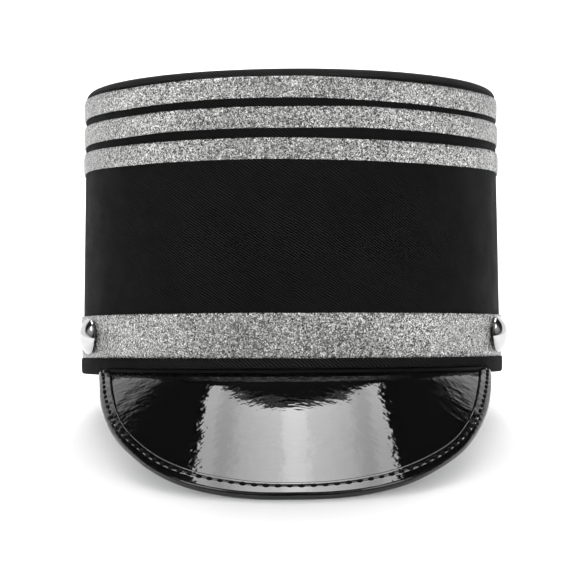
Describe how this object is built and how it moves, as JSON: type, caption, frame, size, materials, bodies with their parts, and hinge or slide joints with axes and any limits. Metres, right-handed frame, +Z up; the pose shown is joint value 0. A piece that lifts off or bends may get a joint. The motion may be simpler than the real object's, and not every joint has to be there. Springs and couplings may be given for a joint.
{
  "type": "shako hat",
  "caption": "Tall stiff band hat in black twill with silver glitter ribbons, domed side buttons and a glossy stitched peak, resting on its peak and rim.",
  "frame": {"origin": "centre of the bounding box on the surface that the hat stands on", "axes": "+Z up from the surface, -Y towards the front with the peak, +X to the right as seen from the front; the hat's own axis leans back towards +Y by 10.3 degrees"},
  "size_m": [0.1944, 0.284, 0.1609],
  "materials": {
    "black_twill": "black cotton twill over stiff board",
    "silver_glitter": "ribbon coated with fine silver glitter",
    "patent_leather": "black patent, high gloss",
    "chrome": "polished"
  },
  "bodies": {
    "root": {"crown_wall": "black_twill", "crown_top": "black_twill", "ribbon_upper": "silver_glitter", "ribbon_middle": "silver_glitter", "ribbon_lower": "silver_glitter", "band_ribbon": "silver_glitter", "rim_binding": "black_twill", "peak": "patent_leather", "peak_binding": "patent_leather", "button_left": "chrome", "button_right": "chrome"}
  },
  "joints": []
}
